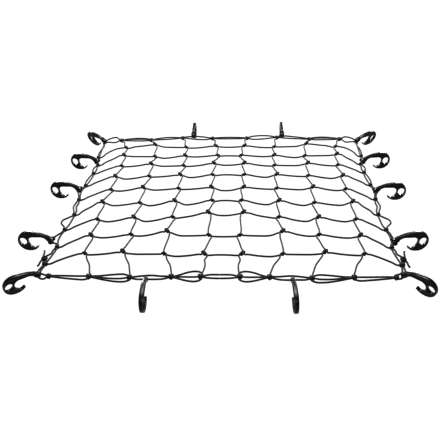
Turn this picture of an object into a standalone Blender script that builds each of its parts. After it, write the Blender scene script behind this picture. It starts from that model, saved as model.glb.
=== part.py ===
"""Elastic cargo net for a roof rack: a knotted mesh, a doubled border and fourteen open hooks.

The net is stretched flat, as in use, and stands on the curls of its hooks. +X runs across the net, its
front edge faces -Y and +Z is up. The origin is on the floor under the middle of the whole part. The
scene is in metres, and every size below is in millimetres.
"""
from collections import namedtuple
from math import cos, pi, radians, sin, tan

import bmesh
import bpy
from mathutils import Matrix, Vector

MM = 0.001

# Driving dimensions
CORD = 5.0                # thickness of the elastic cord
GAP = 0.3                 # clearance between pieces that touch
KNOT_THICK = 15.0         # thickness of a tied knot
KNOT_RIDGE = 6.0          # from a knot's middle to each of its two ridges
BORDER_KNOT_RADIUS = 5.0  # of the outer strand where a border knot grips it
JOINT_OFFSET = 5.8        # from a border joint to the middle of each of its two strands
SAG = 8.0                 # how far the middle of the net hangs below its border
HALF_WIDTH = 545.0        # from the middle of the net to its side border, where the net stops sagging
HALF_DEPTH = 530.0        # the same to its front and back border

HOOK_THICK = 12.0
HOOK_FLAT_DROP = 37.0     # from the middle of a hook's eye down to its floor flat
HOOK_FLAT_END = 81.0      # from the eye out to the end of that flat, where the dipped hook's flat begins
HOOK_DIP_FLAT = 12.0      # length of the dipped hook's flat along the hook
HOOK_DIP = 16.0           # degrees by which the two front hooks dip
EYE_RADIUS = CORD / 2 + 2 * GAP
EYE_RUN = 9.0             # the border cord runs straight this far each side of an eye's middle
FINGER_HOLE = (94.5, -2.5)          # its middle, along and up from the eye
FINGER_HOLE_RADII = (13.0, 15.0)    # it is an oval, a little higher than long

# Every cross cord of the right half, from the front to the back: where it is tied to the side border,
# how far each of its stretches between two knots bows to the front, from the outermost one inwards, and
# how far its middle stretch does.
CrossCord = namedtuple("CrossCord", "side_x side_y bow_1 bow_2 bow_3 middle_bow")
CROSS_CORDS = (
    CrossCord(562, -458, 12, 12, 17, 8),
    CrossCord(550, -359, 19, 18, 22, 12),
    CrossCord(553, -249, 23, 31, 14, 23),
    CrossCord(545, -146, 26, 28, 33, 4),
    CrossCord(555, -33, 19, 20, 12, 28),
    CrossCord(556, 82, 26, 12, 26, 4),
    CrossCord(549, 191, 14, 18, 14, 20),
    CrossCord(548, 270, 12, 22, 16, 8),
    CrossCord(562, 348, 4, 19, 14, 16),
)

# The knots on every cross cord of the right half, from the outermost lengthwise cord to the innermost
KNOTS = (
    ((453, -394), (328, -382), (193, -392), (61, -391)),
    ((456, -282), (321, -273), (198, -249), (54, -273)),
    ((459, -173), (329, -155), (191, -150), (63, -115)),
    ((465, -46), (326, -47), (195, -28), (56, -23)),
    ((454, 55), (330, 77), (192, 72), (62, 83)),
    ((457, 170), (322, 176), (195, 190), (65, 192)),
    ((451, 268), (328, 290), (191, 275), (63, 297)),
    ((458, 374), (323, 363), (191, 371), (52, 374)),
    ((464, 453), (337, 485), (196, 456), (63, 469)),
)
KNOTS_RIGHTWARDS = 4      # all knots lie this far to the right of the places above and their mirror images

# Every lengthwise cord of the right half, from the outside in: where it is tied to the front border and
# to the back border
LengthCord = namedtuple("LengthCord", "front_x front_y back_x back_y")
LENGTH_CORDS = (
    LengthCord(405, -525, 495, 533),
    LengthCord(278, -530, 360, 535),
    LengthCord(150, -525, 216, 556),
    LengthCord(60, -523, 80, 549),
)
CORNER_TIE = (530, -524)              # a border knot near each front corner, with no cord of the mesh
INNER_CORNER = (-7, 9.5)              # where the border's inner strand turns, from a corner hook's eye

# How a cord of the mesh leaves the straight line between two knots, at a few places along it. A cross
# cord leaves a knot low and waves back, and a lengthwise cord leaves the knot behind it towards the
# middle of the net.
Wave = namedtuple("Wave", "at_start before_middle after_middle at_end")
WAVE_PLACES = Wave(0.12, 0.3, 0.6, 0.88)
WAVE_SHAPE = Wave(-0.6, -1, -0.75, -0.1)    # shares of a stretch's bow
MIDDLE_SHAPE = Wave(-0.5, -1, -1, -0.5)
FROM_BORDER = Wave(-8, -3, 4, 2)
LAST_FROM_BORDER = Wave(0, 14, 24, 12)
Bow = namedtuple("Bow", "at_back middle at_front")
BOW_PLACES = Bow(0.15, 0.5, 0.9)
LENGTHWISE = Bow(10, 4, -2)
TO_FRONT_BORDER = Bow(11, 11, 1)
BORDER_PLACES = (0.25, 0.5, 0.75)     # where a bow of the border is worked out

# How far the border's inner strand bows into the net between two of its knots, on the right half
FRONT_BOWS = (4, 18, 5, 10, -8)        # from the middle to the corner tie
BACK_BOWS = (6, 16, 4, 8)             # from the middle to the outermost lengthwise cord
SIDE_BOWS = (-2, -6, -2, 2, -7, -2, -1, -1)  # from the first cross cord to the last
# Stretches with a third strand, counted from the middle, and how far it bows out of the net
FRONT_THIRD_STRANDS = {1: 6, 3: 7}
BACK_THIRD_STRANDS = {3: 6}

# The border's outer strand on the right half: points where it hangs free between two knots, and the
# eyes of the hooks. At a border knot it passes outside the inner strand.
FRONT_FREE = ((0, -537), (108, -548), (340, -549), (467, -543))
SIDE_FREE = ((564, -398), (580, -198), (562, -90), (563, 136), (559, 230), (574, 430))
BACK_FREE = ((538, 543), (425, 553), (295, 562), (0, 560))
BACK_LOOP = (148, 574)                # on the right half alone, in the hook's place on the left
TIE_KNOT = (571, -430)                # where the border cord's ends are tied, near each front corner
TIE_RUN = 14.0                        # the border cord runs straight this far each side of it

# The middle of every hook's eye, the heading of the border cord through it, and by how much the hook
# leans over to the front, both in degrees. The left half is given as its mirror image, so both halves
# count x from the middle of the net outwards.
Eye = namedtuple("Eye", "x y heading lean")
RIGHT_EYES = (
    Eye(217, -567, 3.5, 0),
    Eye(555, -512, 45, 12),
    Eye(566, -322, 95, 0),
    Eye(568, 35, 90, 0),
    Eye(562, 300, 97, 0),
    Eye(564, 506, 123, 17),
    Eye(238, 572, 180, 0),
)
LEFT_EYES = (
    Eye(221, -567, 0, 0),
    Eye(565, -519, 51, 12),
    Eye(582, -318, 90, 0),
    Eye(575, 51, 91, 0),
    Eye(561, 309, 94, 0),
    Eye(567, 516, 126, 17),
    Eye(168, 572, 180, 0),
)
# From the middle of the net to the middle of the whole part, hooks and all
PART_MIDDLE = (-7, 4, 0)

# Outline of a hook from its side: along and up from the middle of its eye, and whether it turns sharply
HookPoint = namedtuple("HookPoint", "along up sharp")
DIP_FLAT_RISE = HOOK_DIP_FLAT * tan(radians(HOOK_DIP))
HOOK_OUTLINE = (
    HookPoint(-7, 1, False),
    HookPoint(-3.5, 8, False),
    HookPoint(9, 15.5, False),
    HookPoint(30, 25.5, False),
    HookPoint(55, 31.5, False),
    HookPoint(78, 33.5, False),
    HookPoint(95, 29.5, False),
    HookPoint(106.5, 18.5, False),
    HookPoint(112, 0, False),
    HookPoint(106.5, -20.5, False),
    HookPoint(HOOK_FLAT_END + HOOK_DIP_FLAT, DIP_FLAT_RISE - HOOK_FLAT_DROP, True),
    HookPoint(HOOK_FLAT_END, -HOOK_FLAT_DROP, True),
    HookPoint(68, -HOOK_FLAT_DROP, True),
    HookPoint(55.5, -33, False),
    HookPoint(44.5, -24.5, True),
    HookPoint(47, -21.5, True),
    HookPoint(59, -28, False),
    HookPoint(72, -19.5, False),
    HookPoint(77.5, -4, False),
    HookPoint(74.5, 8, False),
    HookPoint(65, 14.5, True),
    HookPoint(30, 14.5, True),
    HookPoint(18.5, 8.5, False),
    HookPoint(7.5, -4, False),
    HookPoint(-2, -7, False),
)

# Section of a tie knot, turned round the border cord: along the cord, and out from its middle
TIE_SECTION = (
    (-11, EYE_RADIUS), (11, EYE_RADIUS), (11, 4.6), (6, 6.4), (0, 5.0), (-6, 6.4), (-11, 4.6),
)
# The tie's free tails, from the knot's skin: along the cord, out of the net and up
TAIL_FORWARD = ((-6, 5.6, 0), (-16, 7.5, 0), (-26, 9, -2), (-34, 12, -4))
TAIL_BACK = ((6, 5.6, 0), (18, 7.5, 0), (32, 9, 2), (45, 13, 1))


def material(name, colour, roughness):
    made = bpy.data.materials.new(name)
    made.use_nodes = True
    shader = made.node_tree.nodes["Principled BSDF"]
    shader.inputs["Base Color"].default_value = (*colour, 1.0)
    shader.inputs["Roughness"].default_value = roughness
    return made


def add_object(name, data, collection, finish):
    data.materials.append(finish)
    piece = bpy.data.objects.new(name, data)
    collection.objects.link(piece)
    return piece


def move_to_origin(things):
    """Bring the middle of the whole part to the origin."""
    move = Matrix.Translation(-Vector(PART_MIDDLE) * MM)
    for thing in things:
        thing.matrix_world = move @ thing.matrix_world


def net_height(x, y):
    """Height of the cords' middle over the floor: the net sags between its borders."""
    across = max(0.0, 1 - (x / HALF_WIDTH) ** 2)
    along = max(0.0, 1 - (y / HALF_DEPTH) ** 2)
    return HOOK_FLAT_DROP - SAG * across * along


# ---- The net: its cords are the edges of a mesh whose faces are the gaps between them ----

CORD_ONLY = 0.0           # shares of a knot's thickness, kept as vertex weights
BORDER_KNOT = 0.55
KNOT_MIDDLE = 0.75
KNOT_TOP = 1.0


class NetMesh:
    def __init__(self):
        self.mesh = bmesh.new()
        self.weight = self.mesh.verts.layers.deform.verify()

    def point(self, x, y, thickness=CORD_ONLY):
        vertex = self.mesh.verts.new((x * MM, y * MM, net_height(x, y) * MM))
        vertex[self.weight][0] = thickness
        return vertex

    def knot(self, x, y):
        """Two ridges along the lengthwise cord, with the cross cord between them."""
        return (
            self.point(x, y - KNOT_RIDGE, KNOT_TOP),
            self.point(x, y, KNOT_MIDDLE),
            self.point(x, y + KNOT_RIDGE, KNOT_TOP),
        )

    def stretch(self, start, end, places=(), offsets=(), direction=(0, 0)):
        """Lay a cord between two points, moved off the straight line by its offsets."""
        line = [start]
        for place, offset in zip(places, offsets):
            at = start.co.lerp(end.co, place) / MM
            line.append(self.point(at.x + direction[0] * offset, at.y + direction[1] * offset))
        line.append(end)
        return [self.mesh.edges.new(pair) for pair in zip(line, line[1:])]

    def bow(self, start, end, depth, direction):
        """A stretch of border that bows out in the given direction."""
        offsets = [depth * sin(pi * place) for place in BORDER_PLACES]
        return self.stretch(start, end, BORDER_PLACES, offsets, direction)

    def gap(self, *stretches):
        """Mark the gap that some stretches of cord enclose."""
        edges = [edge for stretch in stretches for edge in stretch]
        bmesh.ops.contextual_create(self.mesh, geom=edges)


def both_halves(values):
    """Values that run outwards from the middle, as a list from the left end to the right end."""
    return [*reversed(values), *values[1:]]


def cross_wave(row, gap, gaps):
    """The wave of one stretch of a cross cord, and whether its outer end is its left one."""
    cord = CROSS_CORDS[row]
    from_side = min(gap, gaps - 1 - gap)
    if from_side == 0:
        wave = LAST_FROM_BORDER if row == len(CROSS_CORDS) - 1 else FROM_BORDER
    elif gap == gaps // 2:
        wave = [cord.middle_bow * share for share in MIDDLE_SHAPE]
    else:
        bow = (cord.bow_1, cord.bow_2, cord.bow_3)[from_side - 1]
        wave = [bow * share for share in WAVE_SHAPE]
    return wave, gap <= gaps // 2


def border_line(net, line, bows, direction):
    return [net.bow(a, b, depth, direction) for a, b, depth in zip(line, line[1:], bows)]


def build_net_mesh(collection, finish):
    """The mesh and the inner strand of its border, one knotted piece."""
    net = NetMesh()
    sides = [-1] * len(LENGTH_CORDS) + [1] * len(LENGTH_CORDS)
    columns = [*range(len(LENGTH_CORDS)), *reversed(range(len(LENGTH_CORDS)))]
    rows = range(len(CROSS_CORDS))

    knots = [[net.knot(side * KNOTS[row][column][0] + KNOTS_RIGHTWARDS, KNOTS[row][column][1])
              for row in rows] for side, column in zip(sides, columns)]

    joints = {
        side: [net.point(side * (cord.side_x - JOINT_OFFSET), cord.side_y, BORDER_KNOT)
               for cord in CROSS_CORDS]
        for side in (-1, 1)
    }
    fronts = [net.point(side * LENGTH_CORDS[column].front_x,
                        LENGTH_CORDS[column].front_y + JOINT_OFFSET, BORDER_KNOT)
              for side, column in zip(sides, columns)]
    backs = [net.point(side * LENGTH_CORDS[column].back_x,
                       LENGTH_CORDS[column].back_y - JOINT_OFFSET, BORDER_KNOT)
             for side, column in zip(sides, columns)]

    # Lines across the net, from the front border to the back one, each a list of stretches
    ties = [net.point(side * CORNER_TIE[0], CORNER_TIE[1] + JOINT_OFFSET, BORDER_KNOT)
            for side in (-1, 1)]
    inwards, back = INNER_CORNER
    front_corners = [net.point(side * (eyes[1].x + inwards), eyes[1].y + back)
                     for side, eyes in ((-1, LEFT_EYES), (1, RIGHT_EYES))]
    back_corners = [net.point(side * (eyes[-2].x + inwards), eyes[-2].y - back)
                    for side, eyes in ((-1, LEFT_EYES), (1, RIGHT_EYES))]
    front_bows = both_halves(FRONT_BOWS)
    front = border_line(net, [ties[0], *fronts, ties[1]], front_bows, (0, 1))
    front[0] += net.stretch(front_corners[0], ties[0])
    front[-1] += net.stretch(ties[1], front_corners[1])
    back = border_line(net, backs, both_halves(BACK_BOWS), (0, -1))
    back.insert(0, net.stretch(back_corners[0], backs[0], (0.5,), (0,)))
    back.append(net.stretch(backs[-1], back_corners[1], (0.5,), (0,)))
    across = [front]
    for row in rows:
        line = [joints[-1][row], *(knot[row][1] for knot in knots), joints[1][row]]
        stretches = []
        for gap, (left, right) in enumerate(zip(line, line[1:])):
            wave, outer_is_left = cross_wave(row, gap, len(line) - 1)
            ends = (left, right) if outer_is_left else (right, left)
            stretches.append(net.stretch(*ends, WAVE_PLACES, wave, (0, 1)))
        across.append(stretches)
    across.append(back)

    # Lines along the net, from the left border to the right one, each from the front to the back
    along = []
    for side, column_knots, front_joint, back_joint in zip(sides, knots, fronts, backs):
        inwards = (-side, 0)
        halves = [(net.stretch(a, b), net.stretch(b, c)) for a, b, c in column_knots]
        line = [net.stretch(column_knots[0][0], front_joint, BOW_PLACES, TO_FRONT_BORDER, inwards)]
        for before, behind in zip(column_knots, column_knots[1:]):
            line.append(net.stretch(behind[0], before[2], BOW_PLACES, LENGTHWISE, inwards))
        line.append(net.stretch(back_joint, column_knots[-1][2], BOW_PLACES, LENGTHWISE, inwards))
        for row, (front_half, back_half) in enumerate(halves):
            line[row] += front_half
            line[row + 1] += back_half
        along.append(line)
    for side, index in ((-1, 0), (1, 1)):
        line = [net.stretch(front_corners[index], joints[side][0])]
        line += border_line(net, joints[side], SIDE_BOWS, (-side, 0))
        line.append(net.stretch(joints[side][-1], back_corners[index], BORDER_PLACES, (0, 0, 0)))
        along.insert(0 if side < 0 else len(along), line)

    for row in range(len(across) - 1):
        for column in range(len(along) - 1):
            net.gap(across[row][column], across[row + 1][column],
                    along[column][row], along[column + 1][row])
    for line, stretches, bows, outwards in ((fronts, front[1:-1], FRONT_THIRD_STRANDS, (0, -1)),
                                            (backs, back[1:-1], BACK_THIRD_STRANDS, (0, 1))):
        middle = len(stretches) // 2
        for index, stretch in enumerate(stretches):
            if abs(index - middle) in bows:
                depth = bows[abs(index - middle)]
                net.gap(stretch, net.bow(line[index], line[index + 1], depth, outwards))

    bmesh.ops.recalc_face_normals(net.mesh, faces=net.mesh.faces)
    mesh = bpy.data.meshes.new("net_mesh")
    net.mesh.to_mesh(mesh)
    net.mesh.free()
    piece = add_object("net_mesh", mesh, collection, finish)
    piece.vertex_groups.new(name="knots")
    cords = piece.modifiers.new("cords", "WIREFRAME")
    cords.thickness = KNOT_THICK * MM
    cords.offset = 0.0
    cords.use_even_offset = True
    cords.use_boundary = True
    cords.use_replace = True
    cords.vertex_group = "knots"
    cords.thickness_vertex_group = CORD / KNOT_THICK


# ---- The border's outer strand, with the eyes and ties along it ----

Station = namedtuple("Station", "place heading kind dip lean", defaults=(0.0, 0.0))


def eye_height(dip, lean):
    """Height of a hook's eye over the floor when the hook dips and leans over by some degrees."""
    dip, lean = radians(dip), radians(lean)
    upright = HOOK_FLAT_DROP * cos(lean) + HOOK_THICK / 2 * abs(sin(lean))
    return upright * cos(dip) + (HOOK_FLAT_END * sin(dip) if dip else 0.0)


def station(x, y, heading, kind):
    return Station(Vector((x, y, net_height(x, y))), heading, kind)


def eye_station(eye, dip=0.0):
    return Station(Vector((eye.x, eye.y, eye_height(dip, eye.lean))), eye.heading, "eye", dip, eye.lean)


def border_half(eyes, back_loops):
    """Stations of the outer strand on the right half, from the front's middle to the back's."""
    front_corner, *side_eyes, back_corner, back_eye = (eye_station(eye) for eye in eyes[1:])
    front = [station(x, y, 0, "free") for x, y in FRONT_FREE]
    front += [station(cord.front_x, cord.front_y - JOINT_OFFSET, 0, "knot") for cord in LENGTH_CORDS]
    front.append(station(CORNER_TIE[0], CORNER_TIE[1] - JOINT_OFFSET, 0, "knot"))
    front.append(eye_station(eyes[0], HOOK_DIP))
    side = [station(x, y, 90, "free") for x, y in SIDE_FREE]
    side += [station(cord.side_x + JOINT_OFFSET, cord.side_y, 90, "knot") for cord in CROSS_CORDS]
    side += side_eyes
    side.append(station(*TIE_KNOT, 90, "tie"))
    back = [station(x, y, 180, "free") for x, y in (*BACK_FREE, *back_loops)]
    back += [station(cord.back_x, cord.back_y + JOINT_OFFSET, 180, "knot") for cord in LENGTH_CORDS]
    back.append(back_eye)
    return [
        *sorted(front, key=lambda at: at.place.x),
        front_corner,
        *sorted(side, key=lambda at: at.place.y),
        back_corner,
        *sorted(back, key=lambda at: -at.place.x),
    ]


def border_stations():
    """Stations all the way round, to the right along the front first."""
    right = border_half(RIGHT_EYES, (BACK_LOOP,))
    left = border_half(LEFT_EYES, ())
    mirrored = [Station(Vector((-at.place.x, *at.place.yz)), -at.heading, at.kind, at.dip, -at.lean)
                for at in reversed(left[1:-1])]
    return right + mirrored


def run_of(heading, lean=0.0):
    """The way the border runs, which slopes where it passes through the eye of a leaning hook."""
    level, slope = radians(heading), radians(lean)
    return Vector((cos(level) * cos(slope), sin(level) * cos(slope), sin(slope)))


# Points that the outer strand gets at a station: along its run, and its radius there
AT_STATION = {
    "free": ((0, CORD / 2),),
    "eye": ((-EYE_RUN, CORD / 2), (EYE_RUN, CORD / 2)),
    "tie": ((-TIE_RUN, CORD / 2), (TIE_RUN, CORD / 2)),
    "knot": ((-9, CORD / 2), (-4, BORDER_KNOT_RADIUS), (4, BORDER_KNOT_RADIUS), (9, CORD / 2)),
}
SHORT_STRETCH = 45.0      # a stretch of the outer strand shorter than this needs one point between


def between(start, start_run, end, end_run):
    """Points on a smooth curve between two points of the outer strand."""
    length = (end - start).length
    shares = (0.5,) if length < SHORT_STRETCH else (0.3, 0.7)
    points = []
    for t in shares:
        blend = t * t * (3 - 2 * t)
        leave = t * (1 - t) ** 2 * length
        arrive = t * t * (t - 1) * length
        points.append(start.lerp(end, blend) + start_run * leave + end_run * arrive)
    return points


def build_border_cord(collection, finish):
    stations = border_stations()
    points = []
    for at, following in zip(stations, stations[1:] + stations[:1]):
        run = run_of(at.heading, at.lean)
        for along, radius in AT_STATION[at.kind]:
            points.append((at.place + run * along, radius))
        next_run = run_of(following.heading, following.lean)
        next_start = following.place + next_run * AT_STATION[following.kind][0][0]
        for place in between(points[-1][0], run, next_start, next_run):
            points.append((place, CORD / 2))
    curve = bpy.data.curves.new("border_cord", "CURVE")
    curve.dimensions = "3D"
    curve.bevel_depth = MM
    curve.bevel_resolution = 1
    spline = curve.splines.new("POLY")
    spline.points.add(len(points) - 1)
    for control, (place, radius) in zip(spline.points, points):
        control.co = (*(place * MM), 1.0)
        control.radius = radius
    spline.use_cyclic_u = True
    add_object("border_cord", curve, collection, finish)


def frame_at(at):
    """A frame whose X points out of the net, whose Y points up and whose Z runs along the border."""
    dip, lean = radians(at.dip), radians(at.lean)
    out = run_of(at.heading - 90)
    x_axis = out * cos(dip) - Vector((0, 0, sin(dip)))
    upright = out * sin(dip) + Vector((0, 0, cos(dip)))
    y_axis = upright * cos(lean) + x_axis.cross(upright) * sin(lean)
    frame = Matrix((x_axis, y_axis, x_axis.cross(y_axis))).transposed().to_4x4()
    frame.translation = at.place * MM
    return frame


# ---- Tie knots ----

def tube(points, radius):
    curve = bpy.data.curves.new("tail", "CURVE")
    curve.dimensions = "3D"
    curve.bevel_depth = radius * MM
    curve.bevel_resolution = 1
    curve.use_fill_caps = True
    spline = curve.splines.new("POLY")
    spline.points.add(len(points) - 1)
    for control, place in zip(spline.points, points):
        control.co = (*(Vector(place) * MM), 1.0)
    return curve


def mesh_of(curve, collection, name):
    """Turn a curve into a mesh object with welded caps, ready for a Boolean."""
    source = bpy.data.objects.new(name, curve)
    collection.objects.link(source)
    depsgraph = bpy.context.evaluated_depsgraph_get()
    mesh = bpy.data.meshes.new_from_object(source.evaluated_get(depsgraph))
    bpy.data.objects.remove(source)
    welded = bmesh.new()
    welded.from_mesh(mesh)
    bmesh.ops.remove_doubles(welded, verts=welded.verts, dist=0.01 * MM)
    welded.to_mesh(mesh)
    welded.free()
    solid = bpy.data.objects.new(name, mesh)
    collection.objects.link(solid)
    return solid


def turned_barrel(name, section):
    """A ring whose section is turned round the local Z axis."""
    barrel = bmesh.new()
    corners = [barrel.verts.new((out * MM, 0, along * MM)) for along, out in section]
    edges = [barrel.edges.new(pair) for pair in zip(corners, corners[1:] + corners[:1])]
    bmesh.ops.spin(barrel, geom=corners + edges, axis=(0, 0, 1), cent=(0, 0, 0),
                   angle=2 * pi, steps=8, use_merge=True)
    bmesh.ops.recalc_face_normals(barrel, faces=barrel.faces)
    mesh = bpy.data.meshes.new(name)
    barrel.to_mesh(mesh)
    barrel.free()
    return mesh


def build_tie_knot(name, at, collection, tools, finish):
    """A knot round the outer strand, with the border cord's two free tails."""
    knot = add_object(name, turned_barrel(name, TIE_SECTION), collection, finish)
    knot.matrix_world = frame_at(at)
    # On the left the border runs the other way, so a tail that lies forward there is mirrored
    forward = -1 if at.place.x < 0 else 1
    for label, route in (("forward", TAIL_FORWARD), ("back", TAIL_BACK)):
        points = [(out, up, forward * along) for along, out, up in route]
        tail = mesh_of(tube(points, CORD / 2), tools, f"{name}_{label}_tail")
        tail.matrix_world = knot.matrix_world
        tail.hide_render = True
        tail.display_type = "WIRE"
        join = knot.modifiers.new(label, "BOOLEAN")
        join.operation = "UNION"
        join.object = tail


# ---- Hooks ----

OUTLINE_STEPS = 2         # straight steps between two points of the outline
HOLE_POINTS = 4           # control points of each round hole


def add_oval_hole(curve, middle, radii, steps):
    """An oval of four smooth points, cut out of the outline around it."""
    spline = curve.splines.new("BEZIER")
    spline.bezier_points.add(HOLE_POINTS - 1)
    spline.use_cyclic_u = True
    spline.resolution_u = steps
    reach = 4 / 3 * tan(pi / 2 / HOLE_POINTS)
    for index, control in enumerate(spline.bezier_points):
        angle = 2 * pi * index / HOLE_POINTS
        place = Vector((middle[0] + radii[0] * cos(angle), middle[1] + radii[1] * sin(angle), 0))
        handle = Vector((-radii[0] * sin(angle), radii[1] * cos(angle), 0)) * reach
        control.handle_left_type = control.handle_right_type = "FREE"
        control.co = place * MM
        control.handle_left = (place - handle) * MM
        control.handle_right = (place + handle) * MM


def hook_curve():
    """The hook's outline with its two round holes, extruded to its thickness."""
    curve = bpy.data.curves.new("hook", "CURVE")
    curve.dimensions = "2D"
    curve.fill_mode = "BOTH"
    curve.extrude = HOOK_THICK / 2 * MM
    outline = curve.splines.new("BEZIER")
    outline.bezier_points.add(len(HOOK_OUTLINE) - 1)
    outline.use_cyclic_u = True
    outline.resolution_u = OUTLINE_STEPS
    for control, point in zip(outline.bezier_points, HOOK_OUTLINE):
        kind = "VECTOR" if point.sharp else "AUTO"
        control.handle_left_type = control.handle_right_type = kind
        control.co = (point.along * MM, point.up * MM, 0)
    add_oval_hole(curve, (0, 0), (EYE_RADIUS, EYE_RADIUS), 2)
    add_oval_hole(curve, FINGER_HOLE, FINGER_HOLE_RADII, 4)
    return curve


def hook_names():
    """Names of the hooks in the order in which the border cord meets them."""
    sides = ["1", "2", "3"]
    return [
        "hook_front_right", "hook_corner_front_right", *(f"hook_right_{n}" for n in sides),
        "hook_corner_back_right", "hook_back_right", "hook_back_left", "hook_corner_back_left",
        *(f"hook_left_{n}" for n in reversed(sides)), "hook_corner_front_left", "hook_front_left",
    ]


def build_hooks(collection, finish):
    curve = hook_curve()
    curve.materials.append(finish)
    eyes = [at for at in border_stations() if at.kind == "eye"]
    for name, at in zip(hook_names(), eyes):
        hook = bpy.data.objects.new(name, curve)
        collection.objects.link(hook)
        hook.matrix_world = frame_at(at)


def main():
    for thing in list(bpy.data.objects):
        bpy.data.objects.remove(thing)
    parts = bpy.data.collections.new("cargo_net")
    tools = bpy.data.collections.new("cutters")
    for collection in (parts, tools):
        bpy.context.scene.collection.children.link(collection)
    cord = material("elastic_cord", (0.012, 0.012, 0.013), 0.75)
    plastic = material("hook_plastic", (0.010, 0.010, 0.011), 0.42)
    build_net_mesh(parts, cord)
    build_border_cord(parts, cord)
    ties = [at for at in border_stations() if at.kind == "tie"]
    for name, at in zip(("tie_knot_right", "tie_knot_left"), ties):
        build_tie_knot(name, at, parts, tools, cord)
    build_hooks(parts, plastic)
    bpy.context.view_layer.update()
    move_to_origin([*parts.objects, *tools.objects])


main()
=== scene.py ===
"""Looks of the elastic cargo net: knotted cords, a looped double border, ties and fourteen moulded hooks.

Lengths in the tables are millimetres, counted from the middle of the net. +X runs across the net, its
front edge faces -Y and +Z is up. The left half mirrors the right one, but for the places of its hooks and
of one back loop.
"""
from collections import namedtuple
from math import ceil, cos, pi, radians, sin, tan

import bmesh
import bpy
from mathutils import Matrix, Vector


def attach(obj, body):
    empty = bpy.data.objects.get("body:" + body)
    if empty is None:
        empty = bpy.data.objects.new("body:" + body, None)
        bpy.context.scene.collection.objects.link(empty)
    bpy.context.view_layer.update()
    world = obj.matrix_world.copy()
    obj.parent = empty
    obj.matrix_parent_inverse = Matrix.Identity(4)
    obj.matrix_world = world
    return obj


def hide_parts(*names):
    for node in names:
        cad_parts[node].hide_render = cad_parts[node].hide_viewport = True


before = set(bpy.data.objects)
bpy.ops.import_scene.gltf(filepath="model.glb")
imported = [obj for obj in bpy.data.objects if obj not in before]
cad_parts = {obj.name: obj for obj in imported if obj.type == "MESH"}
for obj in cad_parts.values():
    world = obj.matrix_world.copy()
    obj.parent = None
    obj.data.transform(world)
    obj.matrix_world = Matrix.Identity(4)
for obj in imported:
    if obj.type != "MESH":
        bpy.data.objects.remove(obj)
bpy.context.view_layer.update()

MM = 0.001
PART_MIDDLE = Vector((-7, 4, 0))      # from the middle of the net to the frame's origin

# ---- Camera ----

CAMERA_PLACE = (0.0951, -2.0422, 1.1345)      # metres
CAMERA_PITCH = 30.575     # degrees, downwards
CAMERA_YAW = -3.169
CAMERA_ROLL = 1.624
CAMERA_LENS = 50.0        # millimetres
SENSOR_WIDTH = 36.0


def add_camera():
    pitch, yaw, roll = (radians(a) for a in (CAMERA_PITCH, CAMERA_YAW, CAMERA_ROLL))
    ahead = Vector((sin(yaw) * cos(pitch), cos(yaw) * cos(pitch), -sin(pitch)))
    level = Vector((cos(yaw), -sin(yaw), 0))
    down = ahead.cross(level)
    right = cos(roll) * level + sin(roll) * down
    up = sin(roll) * level - cos(roll) * down
    turn = Matrix((right, up, -ahead)).transposed()
    data = bpy.data.cameras.new("camera")
    data.lens = CAMERA_LENS
    data.sensor_width = SENSOR_WIDTH
    camera = bpy.data.objects.new("camera", data)
    bpy.context.scene.collection.objects.link(camera)
    camera.matrix_world = Matrix.Translation(Vector(CAMERA_PLACE)) @ turn.to_4x4()
    bpy.context.scene.camera = camera


# ---- The net's layout, as in the solids ----

CORD_RADIUS = 2.85        # of the border's strands
CROSS_CORD_RADIUS = 2.9   # a cross cord is slacker, so it is thicker
LENGTH_CORD_RADIUS = 2.5
HOOK_FLAT_DROP = 37.0     # from a hook's eye down to the flat that it stands on
HOOK_FLAT_END = 81.0      # from the eye out to the end of that flat
HOOK_DIP_FLAT = 12.0      # length of the slanting flat that a dipped hook stands on
HOOK_DIP = 16.0           # degrees by which the front hooks dip
HOOK_THICK = 12.0
SAG = 8.0                 # of the net in its middle
HALF_WIDTH = 545.0        # the net sags between these edges
HALF_DEPTH = 530.0

# Each cross cord's border knot, and how far it bows between its knots, from the side inwards
CrossCord = namedtuple("CrossCord", "side_x side_y bow_1 bow_2 bow_3 middle_bow")
CROSS_CORDS = (
    CrossCord(562, -458, 12, 12, 17, 8),
    CrossCord(550, -359, 19, 18, 22, 12),
    CrossCord(553, -249, 23, 31, 14, 23),
    CrossCord(545, -146, 26, 28, 33, 4),
    CrossCord(555, -33, 19, 20, 12, 28),
    CrossCord(556, 82, 26, 12, 26, 4),
    CrossCord(549, 191, 14, 18, 14, 20),
    CrossCord(548, 270, 12, 22, 16, 8),
    CrossCord(562, 348, 4, 19, 14, 16),
)
# Knots of one half, from the side inwards, a row for each cross cord. The other half mirrors them.
KNOTS = (
    ((453, -394), (328, -382), (193, -392), (61, -391)),
    ((456, -282), (321, -273), (198, -249), (54, -273)),
    ((459, -173), (329, -155), (191, -150), (63, -115)),
    ((465, -46), (326, -47), (195, -28), (56, -23)),
    ((454, 55), (330, 77), (192, 72), (62, 83)),
    ((457, 170), (322, 176), (195, 190), (65, 192)),
    ((451, 268), (328, 290), (191, 275), (63, 297)),
    ((458, 374), (323, 363), (191, 371), (52, 374)),
    ((464, 453), (337, 485), (196, 456), (63, 469)),
)
KNOTS_RIGHTWARDS = 4      # the knots lie this far to the right of the border's middle
# The border knots at the ends of each lengthwise cord
LengthCord = namedtuple("LengthCord", "front_x front_y back_x back_y")
LENGTH_CORDS = (
    LengthCord(405, -525, 495, 533),
    LengthCord(278, -530, 360, 535),
    LengthCord(150, -525, 216, 556),
    LengthCord(60, -523, 80, 549),
)
CORNER_TIE = (530, -524)  # the border knot beside a front corner

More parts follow.
